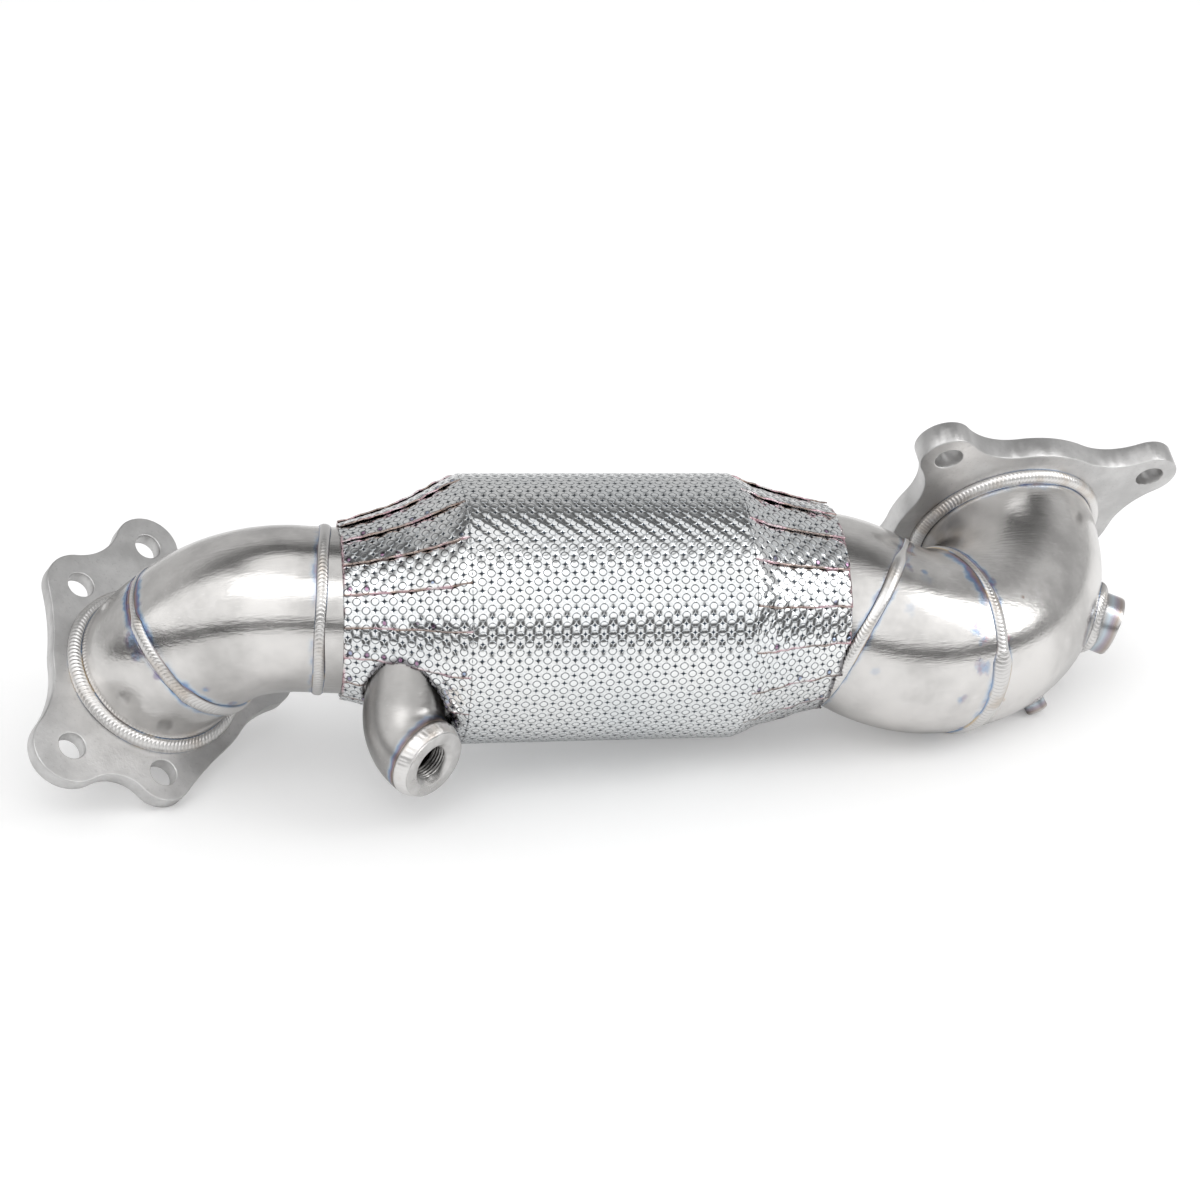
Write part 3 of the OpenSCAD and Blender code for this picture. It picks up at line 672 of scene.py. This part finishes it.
def bungPiece(name, p, t, size, node, finish):
    # A turned profile carried round the axis; inside it the radius follows a helix,
    # r = core + depth * triangle(z / pitch - angle), which makes the thread.
    around = turning["around"]
    a = roundAngles(around)
    h, below, core, sink = size["h"], size["below"], size["thread"], size["sink"]
    top = h - sink
    steps = max(turning["least"], int((top + below) / size["pitch"] * turning["perTurn"]))
    z = np.linspace(-below, top, steps)[None, ::-1]
    saw = (z / size["pitch"] - a / (2 * np.pi)) % 1
    start = turning["threadStart"]
    depth = turning["threadDepth"] * size["pitch"] * np.clip((top - z) / start, 0, 1)
    depth = depth * np.clip((z + below) / start, 0, 1)
    hollow = 1 - np.abs(2 * saw - 1)
    r = core - turning["coreGap"] + depth * hollow
    e, b = size["edge"], turning["mouth"]
    outer = [(size["r"], -below), (size["r"], h - e), (size["r"] - e * 0.3, h - e * 0.3), (size["r"] - e, h),
             (core + sink + b, h), (core + sink, h - b * 0.3)]
    count = len(outer)
    outer = np.array(outer)[None].repeat(around, 0)
    section = np.concatenate([outer, np.stack([r, z + 0 * a], -1)], 1)
    # painted shade down the hole; the thread mark carries painted shade in the thread's roots
    deep = np.clip((top - z) / turning["dark"], 0, 1) * np.ones_like(a)
    marks = {"thread": np.hstack([np.zeros((around, count)), hollow]),
             "deep": np.hstack([np.zeros((around, count)), deep])}
    piece = gridPiece(name, ringPoints(p, t, section), finish, marks, flip=True)
    ride(piece, "bung_steel", node)
    sharp = piece.modifiers.new("edges", "EDGE_SPLIT")
    sharp.split_angle = math.radians(turning["sharp"])


def bungFinish(name, tinted=None):
    # Turned steel, cloudy, with painted shade in the thread's roots and down the hole. tinted (point, axis,
    # height in mm) adds bands of blue, purple and brown up the side.
    f = Finish(name, metallic=1.0)
    cloud = f.noise(80, 3, 0.55)
    color = f.blend(cloud.step(0.4, 0.7), grey(0.58, 0.02), grey(0.74, 0.015))
    # painted shade in the thread's roots and down the hole
    color = f.blend(f.mark("thread").step(0.35, 0.8) * 0.8, color, grey(0.06, 0.03))
    color = f.blend(f.mark("deep") * 0.8, color, grey(0.05, 0.05))
    if tinted:
        point, way, size = tinted
        high = f.offset(point, way) / size + (f.noise(70, 2, 0.5) - 0.5) * 0.25
        band = f.ramp(high, (0.15, (0.36, 0.33, 0.31)), (0.42, (0.50, 0.60, 0.68)), (0.62, (0.36, 0.30, 0.38)),
                      (0.80, (0.38, 0.30, 0.26)), (0.97, grey(0.66, 0.02)))
        color = f.blend(0.75, color, band)
    f.set("color", color)
    f.set("roughness", 0.22 + 0.12 * cloud)
    return f


frontP, frontN = onElbow(pipes["frontBung"])
portP, portN = onElbow(pipes["port"])
bungPiece("bung_rear", sensorP, sensorT, bungs["rear"], "rear_sensor_bung", bungFinish("turned steel"))
bungPiece("bung_front", frontP, frontN, bungs["front"], "front_sensor_bung",
          bungFinish("tinted turned steel", (frontP, frontN, bungs["front"]["band"])))
bungPiece("bung_port", portP, portN, bungs["port"], "port_boss",
          bungFinish("tinted port steel", (portP, portN, bungs["port"]["band"])))

rearWeld = {"inner": 16.4, "wide": 18.3, "height": 6.3, "around": 360, "across": 16, "waves": 46, "brushed": 0.06,
            "uneven": 0.10, "lobe": 0.8, "lobeAt": 3.9, "lobeWide": 0.22, "lobeUp": 0.35, "lobeTall": 0.25}


def rearWeldRing(finish):
    # Broad smooth weld from the elbow's end to the face's edge: a convex flank with faint brushed
    # waves round it and a lobe where the weld started and stopped.
    around = rearWeld["around"]
    a = roundAngles(around)
    v = np.linspace(0, 1, rearWeld["across"])[None, :]
    low, high = rearWeld["wide"], rearWeld["inner"]
    flank = np.interp(v[0], [0, 0.14, 0.36, 0.7, 1], [low, low + 0.35, low + 0.1, high + 1.1, high + 0.02])[None, :]
    aside, above = (a - rearWeld["lobeAt"]) / rearWeld["lobeWide"], (v - rearWeld["lobeUp"]) / rearWeld["lobeTall"]
    lobe = rearWeld["lobe"] * np.exp(-aside ** 2 - above ** 2)
    brush = np.sin(a * rearWeld["waves"] + 3 * v)
    radius = flank + rearWeld["uneven"] * wobble(a, 21, 9) * np.sin(v * np.pi)
    radius = radius + rearWeld["brushed"] * brush * np.sin(v * np.pi) + lobe
    height = rearWeld["height"] * v + 0.18 * wobble(a, 23, 7) * np.sin(v * np.pi / 2)
    height = np.hstack([height, height[:, -1:], np.zeros((around, 1))])
    radius = np.hstack([radius, np.full((around, 2), high - 0.4)])
    points = ringPoints(sensorP, sensorT, np.stack([radius, height], -1))
    weldPiece("weld_rear_bung", points, 0.6 + 0.4 * brush, np.clip(1 - v * 6, 0, 1), "rear_bung_weld", finish)


rearWeldRing(brightMetal)
print("bungs done")

# bevel and merge in metres, flatArea in square metres, the angles in degrees
plate = {"dark": 0.56, "light": 0.74, "rough": 0.34, "merge": 2e-6, "joinBelow": 0.5, "flatArea": 1.5e-4,
         "bevel": 0.0006, "segments": 2, "bevelFrom": 40}


def flangeFinish():
    # cut plate: silver grey with cloudy scale and fine grain
    f = Finish("flange plate", metallic=1.0)
    cloud = f.noise(38, 4, 0.6)
    fine = f.noise(650, 3, 0.6)
    color = f.blend(cloud.step(0.35, 0.7), grey(plate["dark"], 0.008), grey(plate["light"], 0.008))
    f.set("color", f.blend(fine.step(0.58, 0.72) * 0.25, color, grey(0.35, 0.01)))
    f.set("roughness", plate["rough"] + 0.12 * cloud)
    f.set("normal", f.bump(fine, 0.35, 0.00025))
    return f


def bevelled(node, name, finish):
    # copy of a CAD plate with its loose triangles merged, flat faces joined and edges rounded
    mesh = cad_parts[node].data.copy()
    mesh.name = name
    bm = bmesh.new()
    bm.from_mesh(mesh)
    bmesh.ops.remove_doubles(bm, verts=bm.verts, dist=plate["merge"])
    bmesh.ops.dissolve_limit(bm, angle_limit=math.radians(plate["joinBelow"]), verts=bm.verts, edges=bm.edges)
    for face in bm.faces:
        face.smooth = face.calc_area() < plate["flatArea"]
    bm.to_mesh(mesh)
    bm.free()
    mesh.materials.clear()
    mesh.materials.append(finish.material)
    piece = bpy.data.objects.new(name, mesh)
    bpy.context.scene.collection.objects.link(piece)
    edge = piece.modifiers.new("edges", "BEVEL")
    edge.width, edge.segments, edge.limit_method = plate["bevel"], plate["segments"], "ANGLE"
    edge.angle_limit, edge.harden_normals = math.radians(plate["bevelFrom"]), True
    ride(piece, "flange_steel", node)


plateFinish = flangeFinish()
bevelled("outlet_flange", "flange_outlet", plateFinish)
bevelled("inlet_flange", "flange_inlet", plateFinish)
print("flanges done")


def dress(node, finish):
    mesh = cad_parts[node].data
    mesh.materials.clear()
    mesh.materials.append(finish.material)


# heat tint beside the welds, where the photo shows it: (point in mm, radius in mm, tint)
heatSpots = {
    "stub": [((-210.5, -10.4, -13.2), 4.5, "blue"), ((-207.9, -12.1, -18.5), 3, "purple"),
             ((-210.0, -5.7, 3.2), 3.2, "brown"), ((-209.1, -8.9, -0.8), 2.6, "purple"),
             ((-187.7, -10.9, -37.6), 3.2, "blue"), ((-183.4, -7.2, -41.5), 3, "blue"),
             ((-167.9, 8.7, -45.8), 3.2, "brown"), ((-198.4, -14.3, -28.0), 2.6, "purple")],
    "outElbow": [((-202.9, -15.9, -8.4), 3, "purple"), ((-196.6, -16.7, -23.9), 2.6, "blue"),
                 ((-207.3, -8.8, 3.2), 2.6, "brown"), ((-186.3, -15.2, -32.6), 3.2, "blue"),
                 ((-166.2, -0.9, -41.7), 3, "blue"), ((-178.1, -14.4, -34.6), 2.6, "purple")],
    "low": [((133.8, -40.9, 14.3), 3.5, "blue"), ((138.6, -34.3, 21.8), 3, "brown"),
            ((121.8, -39.1, -31.5), 3, "blue"), ((125.6, -45.2, 5.2), 1.2, "brown")],
    "mid": [((142.3, -37.4, 17.1), 3.5, "blue"), ((149.5, -40.1, 11.4), 4, "pale"),
            ((149.3, -37.9, 14.2), 2.4, "purple"), ((139.0, -47.6, -1.8), 4, "pale"),
            ((145.7, -29.2, 23.7), 3, "brown"), ((169.5, -45.6, -7.3), 4, "blue"),
            ((172.2, -46.0, -12.4), 3.4, "purple"), ((165.2, -45.6, -4.5), 3.2, "purple"),
            ((179.6, -35.0, 8.8), 3, "blue"), ((176.2, -45.5, -17.5), 3, "pink"),
            ((176.2, -43.9, -30.0), 4.5, "blue"), ((166.4, -38.4, -45.3), 3.4, "purple"),
            ((175.3, -15.2, -59.9), 3, "blue"), ((180.5, -26.7, -52.8), 3, "blue"),
            ((123.6, -42.7, -30.9), 2.6, "pale")],
    "elbow": [((184.5, -33.7, 9.2), 2.6, "blue"), ((188.4, -41.8, -17.8), 3, "pink"),
              ((187.8, -40.3, -29.4), 2.4, "blue"), ((190.9, -29.4, -46.3), 2.4, "straw"),
              ((216.8, 10.6, 57.3), 3.4, "blue"), ((178.9, 54.8, 34.4), 3.4, "blue"),
              ((261.5, 28.2, 47.6), 2.6, "straw"), ((199.1, -34.1, 2.0), 0.9, "brown")]}

sheetMetal = tubeFinish("cone sheet", [])
for node in ("outlet_cone", "converter_can", "inlet_cone"):
    dress(node, sheetMetal)
dress("outlet_stub", tubeFinish("outlet stub tube", [(stubP, stubT, 6.5, 0.9)], heatSpots["stub"]))
dress("outlet_elbow", tubeFinish("outlet elbow tube", [(stubP, -stubT, 7, 0.9), (ringP, outDir, 6, 0.6)],
                                 heatSpots["outElbow"]))
dress("inlet_lower_bend", tubeFinish("inlet lower tube", [(lowP, -lowT, 5.5, 0.6)], heatSpots["low"]))
dress("inlet_middle_bend", tubeFinish("inlet middle tube", [(lowP, lowT, 5.5, 0.6), (midP, -midT, 10, 0.9)],
                                      heatSpots["mid"]))
dress("inlet_elbow", tubeFinish("inlet elbow tube", [(midP, midT, 6.5, 0.8), (inFaceP, -inFaceT, 9, 0.5)],
                                heatSpots["elbow"]))
# the same tube steel made darker: painted shade
dress("sensor_elbow", tubeFinish("sensor elbow tube", [(sensorP, -sensorT, 5, 0.7)], shade=0.72, rougher=0.12))
dress("sensor_elbow_weld", beadMetal)


def fibreFinish(name, color):
    # felted ceramic fibre
    f = Finish(name, roughness=0.95)
    strands = f.noise(600, 4, 0.7)
    f.set("color", f.blend(strands.step(0.3, 0.7), tuple(c * 0.8 for c in color[:3]) + (1,), color))
    f.set("normal", f.bump(strands, 0.6, 0.0006))
    return f


def coreFinish():
    # square honeycomb cells, cell mm wide, across the converter's axis; the cells' openings are painted
    # near black, a painted shade down the channels, between walls of the ceramic's own colour
    f = Finish("honeycomb", roughness=0.8)
    cell = 1.1
    y = f.offset((0, 0, 0), (0, 1, 0)) / cell
    z = f.offset((0, 0, 0), (0, 0, 1)) / cell
    fy = abs(y.math("FRACT", y) - 0.5).step(0.34, 0.42)
    fz = abs(z.math("FRACT", z) - 0.5).step(0.34, 0.42)
    wall = fy.atLeast(fz)
    f.set("color", f.blend(wall, (0.05, 0.045, 0.04, 1), (0.55, 0.48, 0.38, 1)))
    f.set("normal", f.bump(wall, 0.7, 0.0008))
    return f


dress("support_mat", fibreFinish("support mat fibre", (0.78, 0.76, 0.70, 1)))
dress("insulation_blanket", fibreFinish("blanket fibre", (0.85, 0.84, 0.80, 1)))
dress("honeycomb_core", coreFinish())
print("finishes done")

camera = {"at": (-176.16, -964.87, 5.48), "look": (0.1834, 0.983, -0.0024), "up": (0.0128, 0.0, 0.9999),
          "lens": 63, "sensor": 36, "clipEnd": 50}
# nearFrom to backFrom: where each part of the world begins and is full, by the direction's part towards
# the back for nearFrom and its upward part for the others; keys: place, target, width, height, watts
studio = {"floor": 0.90, "floorGlow": 0.16, "floorHalf": 9, "worldLight": 0.92,
          "room": 0.09, "white": 1.10, "strip": 0.85, "back": 0.46, "nearFrom": (0.15, -0.25),
          "tentFrom": (0.16, 0.30), "tentTo": (0.95, 0.89), "stripFrom": (0.93, 0.965), "backFrom": (0.92, 0.62),
          "keys": [((-0.4, -0.8, 1.5), (0.0, 0.0, 0.05), 1.1, 0.8, 3),
                   ((1.2, -0.5, 0.9), (0.1, 0.0, 0.05), 0.5, 1.0, 4)]}


def worldLight():
    # The camera sees white and matt surfaces get an even light. Gloss sees a white tent over the camera's
    # side, a strip overhead, a dim back and a dark horizon.
    world = bpy.data.worlds.new("studio")
    bpy.context.scene.world = world
    world.use_nodes = True
    tree = world.node_tree
    back = tree.nodes["Background"]
    flat = turned @ unit(camera["look"])
    flat = unit((flat[0], flat[1], 0))
    spot = tree.nodes.new("ShaderNodeTexCoord")
    dot = tree.nodes.new("ShaderNodeVectorMath")
    dot.operation = "DOT_PRODUCT"
    tree.links.new(spot.outputs["Generated"], dot.inputs[0])
    dot.inputs[1].default_value = tuple(flat)
    side = Value(tree, dot.outputs["Value"])
    up = tree.nodes.new("ShaderNodeSeparateXYZ")
    tree.links.new(spot.outputs["Generated"], up.inputs[0])
    high = Value(tree, up.outputs["Z"])
    near = side.step(*studio["nearFrom"])
    tent = near * high.step(*studio["tentFrom"]) * high.step(*studio["tentTo"])
    strip = high.step(*studio["stripFrom"]) * studio["strip"]
    glow = tent.atLeast(strip).atLeast((1 - near) * high.step(*studio["backFrom"]) * studio["back"])
    level = studio["room"] + (studio["white"] - studio["room"]) * glow
    path = tree.nodes.new("ShaderNodeLightPath")
    seen = Value(tree, path.outputs["Is Camera Ray"])
    glossy = Value(tree, path.outputs["Is Glossy Ray"]).atLeast(Value(tree, path.outputs["Is Transmission Ray"]))
    plug(tree, back.inputs["Color"], (1, 1, 1, 1))
    plug(tree, back.inputs["Strength"], seen + (1 - seen) * (glossy * level + (1 - glossy) * studio["worldLight"]))


def makeFloor():
    # pale floor that keeps the shadow; seen by the camera it glows a little, up to the white of the backdrop
    f = Finish("floor", roughness=0.9)
    f.set("color", grey(studio["floor"]))
    path = f.tree.nodes.new("ShaderNodeLightPath")
    strength = Value(f.tree, path.outputs["Is Camera Ray"]) * studio["floorGlow"]
    glow = f.node("Emission", {}, {"Color": (1, 1, 1, 1), "Strength": strength})
    both = f.tree.nodes.new("ShaderNodeAddShader")
    f.tree.links.new(f.shader.outputs[0], both.inputs[0])
    f.tree.links.new(glow.socket, both.inputs[1])
    f.tree.links.new(both.outputs[0], f.tree.nodes["Material Output"].inputs["Surface"])
    mesh = bpy.data.meshes.new("floor")
    half = studio["floorHalf"]
    mesh.from_pydata([(-half, -half, 0), (half, -half, 0), (half, half, 0), (-half, half, 0)], [], [(0, 1, 2, 3)])
    mesh.materials.append(f.material)
    floor = bpy.data.objects.new("floor", mesh)
    bpy.context.scene.collection.objects.link(floor)


def makeLamps():
    for n, (at, target, wide, high, power) in enumerate(studio["keys"]):
        lamp = bpy.data.lights.new("softbox%d" % n, "AREA")
        lamp.shape, lamp.size, lamp.size_y, lamp.energy = "RECTANGLE", wide, high, power
        box = bpy.data.objects.new("softbox%d" % n, lamp)
        box.location = at
        box.rotation_euler = (Vector(target) - Vector(at)).to_track_quat("-Z", "Y").to_euler()
        bpy.context.scene.collection.objects.link(box)


def makeCamera():
    data = bpy.data.cameras.new("camera")
    data.sensor_width, data.lens = camera["sensor"], camera["lens"]
    data.clip_end = camera["clipEnd"]
    eye = bpy.data.objects.new("camera", data)
    look = turned @ unit(camera["look"])
    up = turned @ np.array(camera["up"])
    right = unit(np.cross(look, up))
    up = np.cross(right, look)
    m = np.eye(4)
    m[:3, 0], m[:3, 1], m[:3, 2], m[:3, 3] = right, up, -look, toFrame(camera["at"])
    eye.matrix_world = Matrix(m.tolist())
    bpy.context.scene.collection.objects.link(eye)
    bpy.context.scene.camera = eye


worldLight()
makeFloor()
makeLamps()
makeCamera()
bpy.context.scene.view_settings.view_transform = "Standard"
print("scene ready")
